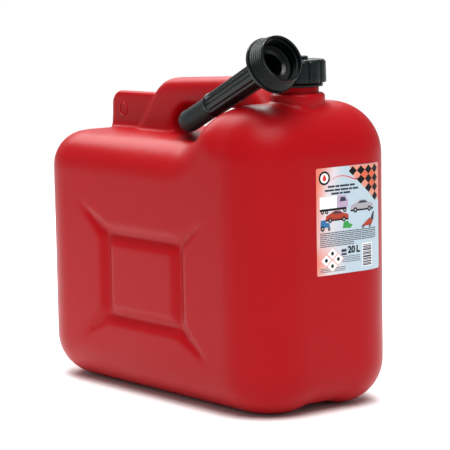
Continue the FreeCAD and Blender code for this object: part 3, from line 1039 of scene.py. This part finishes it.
    def _nozzle(self) -> bmesh.types.BMesh:
        """Run one ring along the nozzle for its outside and one for its bore, and close the ends.

        Returns:
            The nozzle's mesh, in place.
        """
        outer = self._run(self._outer_radius)
        add_mesh(outer, self._run(lambda depth: self.nozzle_bore))
        rims = [e for e in outer.edges if e.is_boundary]
        for place in (self.tip, self.rim - self.axis * (self.tube_end - self.spigot_length) * MM):
            reach = 20 * MM
            pair = [e for e in rims if all((v.co - place).length < reach for v in e.verts)]
            bmesh.ops.bridge_loops(outer, edges=pair)
        bmesh.ops.recalc_face_normals(outer, faces=list(outer.faces))
        self._round_lip(outer)
        return outer

    def _outer_radius(self, depth: float) -> float:
        """Give the nozzle's outer radius: a spigot, a full elbow and a slimmer leg.

        Args:
            depth: Millimetres back along the spout.

        Returns:
            The radius in millimetres.
        """
        if depth < self.tube_end - 0.5:
            return self.spigot_radius
        taper = smooth_step(self.corner_depth + 2, self.corner_depth + 38, depth)
        return self.nozzle_radius + (self.leg_radius - self.nozzle_radius) * taper

    def _run(self, radius_at: Callable[[float], float]) -> bmesh.types.BMesh:
        """Sweep one open ring down the first stretch, round the elbow and along the leg.

        Args:
            radius_at: Gives the ring's radius in millimetres at a depth.

        Returns:
            The open tube.
        """
        corner = self.rim - self.axis * self.corner_depth * MM
        arriving = -self.axis
        leaving = (self.tip - corner).normalized()
        turn = arriving.angle(leaving)
        trim = self.bend_radius * math.tan(turn / 2) * MM
        bend_axis = arriving.cross(leaving).normalized()
        bend_start = corner + self.axis * trim
        centre = bend_start + bend_axis.cross(arriving) * self.bend_radius * MM
        bm = bmesh.new()
        facing = arriving.to_track_quat("Z", "Y").to_matrix().to_4x4()
        depths = [self.tube_end - self.spigot_length, self.tube_end - 0.6, self.tube_end - 0.4]
        depths += [self.tube_end + step * (self.corner_depth - trim / MM - self.tube_end) / 6
                   for step in range(7)]
        start = self.rim - self.axis * depths[0] * MM
        ring = bmesh.ops.create_circle(bm, cap_ends=False, radius=radius_at(depths[0]) * MM,
                                       segments=64,
                                       matrix=Matrix.Translation(start) @ facing)["verts"]
        edges = list(bm.edges)
        for before, after in zip(depths, depths[1:]):
            edges, ring = self._extrude(bm, edges, arriving * (after - before) * MM)
            self._scale_ring(bm, ring, radius_at(after) / radius_at(before))
        edges = edges_in(bmesh.ops.spin(bm, geom=ring + edges, cent=centre, axis=bend_axis,
                                        angle=turn, steps=self.bend_steps,
                                        use_merge=False)["geom_last"])
        leg = (self.tip - corner).length - trim
        for step in range(1, self.leg_steps + 1):
            edges, ring = self._extrude(bm, edges, leaving * leg / self.leg_steps)
            after = self.corner_depth + step * leg / self.leg_steps / MM
            before = after - leg / self.leg_steps / MM
            self._scale_ring(bm, ring, radius_at(after) / radius_at(before))
        bmesh.ops.remove_doubles(bm, verts=list(bm.verts), dist=1e-7)
        return bm

    def _extrude(self, bm: bmesh.types.BMesh, edges: list[bmesh.types.BMEdge],
                 move: Vector) -> tuple[list[bmesh.types.BMEdge], list[bmesh.types.BMVert]]:
        """Extrude a ring of edges.

        Args:
            bm: The mesh to change.
            edges: The ring's edges.
            move: How far and which way, in metres.

        Returns:
            The new ring's edges and points.
        """
        made = bmesh.ops.extrude_edge_only(bm, edges=edges)["geom"]
        points = verts_in(made)
        bmesh.ops.translate(bm, vec=move, verts=points)
        fresh = set(points)
        return [e for e in edges_in(made) if all(v in fresh for v in e.verts)], points

    def _scale_ring(self, bm: bmesh.types.BMesh, ring: list[bmesh.types.BMVert],
                    factor: float) -> None:
        """Scale a ring about its own middle."""
        middle = sum((v.co for v in ring), Vector()) / len(ring)
        bmesh.ops.scale(bm, vec=(factor, factor, factor), space=Matrix.Translation(-middle),
                        verts=ring)

    def _round_lip(self, bm: bmesh.types.BMesh) -> None:
        """Round the two edges of the outlet's lip.

        Args:
            bm: The nozzle's mesh, in place.
        """
        lip = [e for e in bm.edges if len(e.link_faces) == 2
               and all((v.co - self.tip).length < 12.5 * MM for v in e.verts)
               and e.calc_face_angle(0) > math.radians(60)]
        bmesh.ops.bevel(bm, geom=lip, offset=0.6 * MM, segments=3, profile=0.5, affect="EDGES",
                        material=-1)


# ------------------------------------------------------------------------------------ the label


@dataclass
class FrontLabel:
    """A printed film on the front face, carried on round the can's far front corner.

    Places on the label are millimetres from its lower left corner.

    Attributes:
        front: The front face's place along the can.
        corner_y: Where the face turns into the corner.
        film: Thickness of the film, enough for its edge to show.
        stand_off: Gap between the can and the film, so that they never share a surface.
        overlap: How far the print sinks into the film.
        margin: How near the film's edge the print may come.
        strip: Width of the strips that follow the corner.
        word_lengths: Lengths of the bars that stand for words, as shares of their height.
    """

    front: float = 205.0
    left: float = -24.0
    bottom: float = 147.0
    width: float = 91.0
    height: float = 111.0
    corner_y: float = 38.0
    corner_radius: float = 62.0
    film: float = 0.25
    stand_off: float = 0.1
    ink_height: float = 0.03
    overlap: float = 0.01
    margin: float = 0.4
    strip: float = 2.4
    word_lengths: tuple[float, ...] = (5.6, 3.1, 7.4, 4.2, 6.3, 2.4)
    inks: list[Ink] = field(default_factory=lambda: list(Ink))
    print_mesh: bmesh.types.BMesh = field(default_factory=bmesh.new)

    def build(self) -> None:
        """Make the film and all its print, and put them on the tank."""
        film = self._film()
        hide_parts("front_label")
        dress(film, Rides.TANK, SlotName.LABEL, LabelFilm().build())
        self._chequer()
        self._roundel()
        self._swoosh()
        self._headline()
        self._pictures()
        self._small_print()
        self._marks()
        self._volume()
        prints = finish_mesh(self.print_mesh, "label_print")
        dress(prints, Rides.TANK, SlotName.LABEL, *[ink.build() for ink in self.inks])

    def _wrap(self, across: float, up: float, out: float) -> Vector:
        """Turn a place on the flat label into a place on the can.

        Args:
            across: Millimetres from the label's left edge.
            up: Millimetres from its foot.
            out: Millimetres off the can's face.

        Returns:
            The place in metres.
        """
        y = self.left + across
        past = y - self.corner_y
        if past <= 0:
            return place_vector((self.front + out, y, self.bottom + up))
        angle = past / self.corner_radius
        radius = self.corner_radius + out
        return place_vector((self.front - self.corner_radius + radius * math.cos(angle),
                             self.corner_y + radius * math.sin(angle), self.bottom + up))

    def _film(self) -> bpy.types.Object:
        """Make the film with rounded corners, thick enough to show its edge.

        Returns:
            The film, in place.
        """
        bm = bmesh.new()
        corners = [bm.verts.new((x, y, 0)) for x, y in ((0, 0), (self.width, 0),
                                                        (self.width, self.height), (0, self.height))]
        bm.faces.new(corners)
        bmesh.ops.bevel(bm, geom=corners, offset=2.0, segments=5, profile=0.5, affect="VERTICES",
                        material=-1)
        self._bend(bm, self.stand_off, self.film)
        return finish_mesh(bm, "front_label")

    def _bend(self, bm: bmesh.types.BMesh, lift: float, thickness: float) -> None:
        """Cut a flat outline into strips, thicken it and wrap it onto the can.

        Args:
            bm: The flat outline, in millimetres.
            lift: How far off the can's face its back is.
            thickness: Its thickness.
        """
        cut = self.corner_y - self.left
        while cut < self.width:
            bmesh.ops.bisect_plane(bm, geom=list(bm.verts) + list(bm.edges) + list(bm.faces),
                                   dist=1e-5, plane_co=(cut, 0, 0), plane_no=(1, 0, 0))
            cut += self.strip
        made = bmesh.ops.extrude_face_region(bm, geom=list(bm.faces))["geom"]
        bmesh.ops.translate(bm, vec=(0, 0, thickness), verts=verts_in(made))
        bmesh.ops.recalc_face_normals(bm, faces=list(bm.faces))
        for vert in bm.verts:
            vert.co = self._wrap(vert.co.x, vert.co.y, lift + vert.co.z)
        bmesh.ops.recalc_face_normals(bm, faces=list(bm.faces))

    def _shape(self, points: Iterable[tuple[float, float]], ink: Ink, layer: int = 0) -> None:
        """Print one filled outline.

        Args:
            points: Its corners on the label.
            ink: The ink.
            layer: How many inks lie under it.
        """
        bm = bmesh.new()
        edge_x = self.width - self.margin
        edge_y = self.height - self.margin
        bm.faces.new([bm.verts.new((min(edge_x, max(self.margin, x)),
                                    min(edge_y, max(self.margin, y)), 0)) for x, y in points])
        bmesh.ops.remove_doubles(bm, verts=list(bm.verts), dist=1e-4)
        if not bm.faces or bm.faces[:][0].calc_area() < 0.02:
            bm.free()
            return
        lift = self.stand_off + self.film - self.overlap + layer * self.ink_height
        self._bend(bm, lift, self.ink_height)
        for face in bm.faces:
            face.material_index = self.inks.index(ink)
        add_mesh(self.print_mesh, bm)

    def _bar(self, x: float, y: float, length: float, depth: float, ink: Ink,
             layer: int = 0) -> None:
        """Print a rectangle from its lower left corner."""
        self._shape([(x, y), (x + length, y), (x + length, y + depth), (x, y + depth)], ink, layer)

    def _disc(self, x: float, y: float, radius: float, ink: Ink, layer: int = 0,
              height: float | None = None, sides: int = 28) -> None:
        """Print a disc, or an ellipse when its height is given.

        Args:
            x: Its middle across the label.
            y: Its middle up the label.
            radius: Half its width.
            ink: The ink.
            layer: How many inks lie under it.
            height: Half its height, or None for a disc.
            sides: Number of its corners.
        """
        tall = radius if height is None else height
        self._shape([(x + radius * math.cos(FULL_TURN * i / sides),
                      y + tall * math.sin(FULL_TURN * i / sides)) for i in range(sides)],
                    ink, layer)

    def _diamond(self, x: float, y: float, half_width: float, half_height: float, ink: Ink,
                 layer: int = 0) -> None:
        """Print a diamond about its middle."""
        self._shape([(x - half_width, y), (x, y - half_height), (x + half_width, y),
                     (x, y + half_height)], ink, layer)

    def _words(self, x: float, y: float, length: float, depth: float, ink: Ink,
               lead: int) -> None:
        """Print a row of short plain bars in place of words.

        Args:
            x: Where the row begins.
            y: Its foot.
            length: Its whole length.
            depth: Height of the bars.
            ink: The ink.
            lead: Which of the word lengths the row begins with.
        """
        gap = depth * 0.4
        place = x
        turn = lead
        while place < x + length - 0.8:
            word = self.word_lengths[turn % len(self.word_lengths)] * depth * 0.8
            run = min(word, x + length - place)
            self._bar(place, y, run, depth, ink)
            place += run + gap
            turn += 1

    def _chequer(self) -> None:
        """Print the chequered corner: black diamonds with warm ones between them."""
        pitch_x, pitch_y = 11.0, 9.6
        first_x, first_y = 49.5, 105.4
        self._shape([(44.5, 111), (91, 111), (91, 70.5)], Ink.SALMON)
        for row in range(4):
            for column in range(row, 4):
                x = first_x + pitch_x * column
                y = first_y - pitch_y * row
                self._diamond(x, y, pitch_x / 2, pitch_y / 2, Ink.BLACK, 2)
                if column < 3:
                    warm = Ink.ORANGE if column > row else Ink.SALMON
                    self._diamond(x + pitch_x / 2, y - pitch_y / 2, pitch_x / 2 - 0.4,
                                  pitch_y / 2 - 0.4, warm, 1)

    def _roundel(self) -> None:
        """Print a plain ring with a pale middle and a small red drop."""
        x, y = 11.0, 100.6
        self._disc(x, y, 7.6, Ink.BLACK, height=7.2)
        self._disc(x, y, 5.3, Ink.WHITE, 1, height=5.1)
        drop = [(x, y + 4.2)] + [(x + 2.5 * math.cos(a), y - 0.6 + 2.5 * math.sin(a))
                                 for a in (math.radians(40 - 26 * i) for i in range(11))]
        self._shape(drop, Ink.RED, 2)

    def _swoosh(self) -> None:
        """Print the thin red wave that runs from the ring to the chequer."""
        steps = 18
        upper = []
        lower = []
        for i in range(steps + 1):
            share = i / steps
            x = 17.0 + 40.0 * share
            y = 96.8 + 5.2 * math.sin(math.pi * min(1.0, share * 1.15)) * (1 - 0.25 * share)
            half = 0.12 + 0.62 * share
            upper.append((x, y + half))
            lower.append((x, y - half))
        self._shape(lower + upper[::-1], Ink.RED, 1)

    def _headline(self) -> None:
        """Print three rows of plain bars where a heading would be."""
        for x, y, length, lead in ((15.5, 90.2, 38.0, 0), (11.5, 86.4, 45.0, 2),
                                   (20.0, 82.8, 27.0, 4)):
            self._words(x, y, length, 2.1, Ink.SLATE, lead)

    def _wheels(self, y: float, radius: float, *places: float) -> None:
        """Print dark wheels with pale hubs along one line."""
        for x in places:
            self._disc(x, y, radius, Ink.BLACK, 3, sides=18)
            self._disc(x, y, radius * 0.45, Ink.SILVER, 4, sides=12)

    def _saloon(self, x: float, y: float, size: float, paint: Ink) -> None:
        """Print a plain car seen from the side.

        Args:
            x: Its tail.
            y: The foot of its body.
            size: Its length.
            paint: The ink of its body.
        """
        body = ((0, 0.04), (0.5, 0.02), (1, 0.05), (1, 0.15), (0.96, 0.2), (0.8, 0.23), (0.62, 0.33),
                (0.4, 0.34), (0.2, 0.25), (0.02, 0.18))
        glass = ((0.3, 0.235), (0.72, 0.235), (0.6, 0.305), (0.41, 0.31))
        self._shape([(x + size * a, y + size * b) for a, b in body], paint, 1)
        self._shape([(x + size * a, y + size * b) for a, b in glass], Ink.SLATE, 2)
        self._bar(x, y, size, size * 0.05, Ink.BLACK, 2)
        self._wheels(y + size * 0.03, size * 0.085, x + size * 0.2, x + size * 0.8)

    def _pictures(self) -> None:
        """Print the band of plain vehicle and garden machine shapes."""
        self._bar(4.4, 68.8, 23.0, 12.4, Ink.WHITE, 1)
        self._bar(4.4, 66.4, 36.0, 2.4, Ink.BLACK, 1)
        self._shape([(27.8, 68.8), (42.5, 68.8), (42.5, 76.0), (39.0, 81.2), (29.5, 81.8),
                     (27.8, 79)], Ink.LILAC, 1)
        self._shape([(31.5, 75.0), (40.6, 75.2), (38.2, 79.4), (32.5, 79.6)], Ink.SLATE, 2)
        self._wheels(65.6, 2.2, 8.0, 13.5, 38.0)
        self._saloon(46.0, 63.4, 33.0, Ink.SILVER)
        self._saloon(12.0, 55.6, 31.0, Ink.BRICK)
        self._shape([(5.0, 49.5), (17.8, 49.5), (17.2, 54.0), (12.6, 54.6), (11.8, 57.6),
                     (5.6, 57.2)], Ink.BLUE, 1)
        self._wheels(48.6, 2.7, 7.8)
        self._wheels(47.8, 1.9, 16.6)
        self._shape([(35.0, 47.0), (46.0, 46.4), (48.6, 50.0), (44.6, 51.0), (42.0, 54.4),
                     (36.6, 53.4)], Ink.GREEN, 1)
        self._shape([(60.0, 46.2), (76.0, 47.4), (79.5, 52.4), (72.0, 54.4), (66.0, 50.6)],
                    Ink.BRICK, 1)
        self._shape([(73.6, 53.0), (79.4, 52.0), (80.6, 60.6), (78.4, 60.6)], Ink.SLATE, 2)
        self._wheels(46.4, 1.8, 63.0, 73.0)

    def _small_print(self) -> None:
        """Print the blocks of fine grey rows."""
        for row in range(8):
            self._words(4.4, 43.0 - 1.95 * row, 79.0 if row < 6 else 46.0, 1.1, Ink.GREY, row)
        for row in range(4):
            self._words(34.0, 16.8 - 1.8 * row, 24.5, 0.75, Ink.GREY, row + 2)
        for row in range(3):
            self._words(4.4, 6.6 - 1.7 * row, 34.0, 0.75, Ink.GREY, row + 1)

    def _marks(self) -> None:
        """Print four plain framed diamonds and a block of upright-stacked bars."""
        for x, y in ((20.8, 22.0), (12.4, 15.4), (28.6, 15.6), (20.6, 9.0)):
            self._diamond(x, y, 7.6, 6.5, Ink.ORANGE, 1)
            self._diamond(x, y, 7.0, 5.95, Ink.WHITE, 2)
            self._disc(x, y, 2.0, Ink.BLACK, 3, height=2.0, sides=16)
        self._bar(61.6, 4.6, 14.6, 24.2, Ink.WHITE)
        foot = 5.4
        depths = (1.3, 0.9, 1.5, 0.8, 1.2, 1.9, 0.8, 1.3, 0.8, 1.6, 0.9, 1.3, 0.8)
        for line, depth in enumerate(depths):
            self._bar(62.4, foot, 12.8, depth, Ink.SLATE, 1)
            foot += depth + 0.36 + 0.22 * (line % 3)

    def _volume(self) -> None:
        """Print the volume in large plain figures."""
        curve = bpy.data.curves.new("volume_mark", "FONT")
        curve.body = "20 L"
        curve.size = 9.8
        curve.offset = 0.45
        curve.space_word = 0.6
        carrier = add_object("volume_mark", curve)
        mesh = bpy.data.meshes.new_from_object(carrier)
        bpy.data.objects.remove(carrier)
        bm = bmesh.new()
        bm.from_mesh(mesh)
        bmesh.ops.translate(bm, vec=(41.8, 20.6, 0), verts=list(bm.verts))
        bmesh.ops.remove_doubles(bm, verts=list(bm.verts), dist=1e-4)
        lift = self.stand_off + self.film - self.overlap + self.ink_height
        self._bend(bm, lift, self.ink_height)
        for face in bm.faces:
            face.material_index = self.inks.index(Ink.BLACK)
        add_mesh(self.print_mesh, bm)
        self._words(33.0, 22.2, 7.0, 3.0, Ink.SLATE, 2)
        self._words(33.0, 18.8, 7.2, 2.2, Ink.SLATE, 0)


# ------------------------------------------------------------------------------------ the studio


@dataclass(frozen=True)
class Studio:
    """A pale floor, soft lights and the camera.

    Attributes:
        azimuth: The camera's bearing in degrees.
        elevation: Its height above the floor in degrees.
        roll: How far it is turned about its own line of sight, in degrees.
        distance: How far it stands from what it aims at.
        focus: What it aims at.
        lens: Its focal length.
        sensor: Width of its sensor.
        room_light: Strength of the even light in the room.
        floor_reach: Half the side of the floor, in metres.
        far_clip: How far the camera sees, in metres.
    """

    azimuth: float = 52.2
    elevation: float = 7.45
    roll: float = 0.99
    distance: float = 2453.0
    focus: tuple[float, float, float] = (8.2, 10.6, 179.1)
    lens: float = 178.4
    sensor: float = 36.0
    room_light: float = 0.35
    floor_reach: float = 30.0
    far_clip: float = 100.0

    def build(self) -> None:
        """Make the whole studio."""
        self._floor()
        self._camera()
        self._world()
        self._skylight(azimuth=62.0, elevation=64.0, strength=2.5, spread=40.0)
        self._softbox("high_rear", spot=(-1.0, 0.4, 1.45), target=(0.0, 0.0, 0.25),
                      size=(1.5, 1.3), power=32.0)
        self._softbox("overhead", spot=(0.25, -0.1, 1.9), target=(0.1, 0.0, 0.3),
                      size=(1.1, 1.1), power=14.0)

    def _floor(self) -> None:
        """Lay a pale matt sheet far out in every direction."""
        bm = bmesh.new()
        bmesh.ops.create_grid(bm, x_segments=1, y_segments=1, size=self.floor_reach)
        floor = finish_mesh(bm, "studio_floor")
        material = bpy.data.materials.new("pale_paper_floor")
        material.use_nodes = True
        shader = material.node_tree.nodes["Principled BSDF"]
        shader.inputs["Base Color"].default_value = linear("#FCFCFC")
        shader.inputs["Roughness"].default_value = 0.9
        shader.inputs["Specular IOR Level"].default_value = 0.1
        floor.data.materials.append(material)

    def _camera(self) -> None:
        """Stand the camera a little above the can, off its front corner."""
        back = bearing(self.azimuth, self.elevation)
        lens = bpy.data.cameras.new("camera")
        lens.sensor_width = self.sensor
        lens.lens = self.lens
        lens.clip_end = self.far_clip
        camera = add_object("camera", lens)
        aim = (-back).to_track_quat("-Z", "Y").to_matrix().to_4x4()
        stand = Matrix.Translation(place_vector(self.focus) + back * self.distance * MM)
        camera.matrix_world = stand @ aim @ Matrix.Rotation(math.radians(-self.roll), 4, "Z")
        bpy.context.scene.camera = camera

    def _world(self) -> None:
        """Fill the room with even pale light."""
        world = bpy.data.worlds.new("room")
        world.use_nodes = True
        background = world.node_tree.nodes["Background"]
        background.inputs["Color"].default_value = (1, 1, 1, 1)
        background.inputs["Strength"].default_value = self.room_light
        bpy.context.scene.world = world
        bpy.context.scene.view_settings.view_transform = "Standard"

    def _skylight(self, azimuth: float, elevation: float, strength: float, spread: float) -> None:
        """Let broad daylight in through a high diffuser.

        Args:
            azimuth: Its bearing, counted as the camera's is, in degrees.
            elevation: Its height above the floor in degrees.
            strength: Its irradiance in watts per square metre.
            spread: How wide it looks from the can, in degrees.
        """
        light = bpy.data.lights.new("skylight", "SUN")
        light.energy = strength
        light.angle = math.radians(spread)
        lamp = add_object("skylight", light)
        towards = bearing(azimuth, elevation)
        lamp.rotation_euler = (-towards).to_track_quat("-Z", "Y").to_euler()

    def _softbox(self, name: str, spot: tuple[float, float, float],
                 target: tuple[float, float, float], size: tuple[float, float],
                 power: float) -> None:
        """Hang one rectangular soft light.

        Args:
            name: Its name.
            spot: Where it hangs, in metres.
            target: What it faces, in metres.
            size: Its two sides, in metres.
            power: Its power in watts.
        """
        light = bpy.data.lights.new(name, "AREA")
        light.shape = "RECTANGLE"
        light.size, light.size_y = size
        light.energy = power
        lamp = add_object(name, light)
        lamp.location = spot
        lamp.rotation_euler = (Vector(target) - Vector(spot)).to_track_quat("-Z", "Y").to_euler()


def main() -> None:
    """Build every piece and the studio."""
    logging.basicConfig(level=logging.INFO, format="%(message)s")
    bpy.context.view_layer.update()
    TankShell().build()
    ScrewClosure().build()
    StoredSpout().build()
    FrontLabel().build()
    Studio().build()


if __name__ == "__main__":
    main()
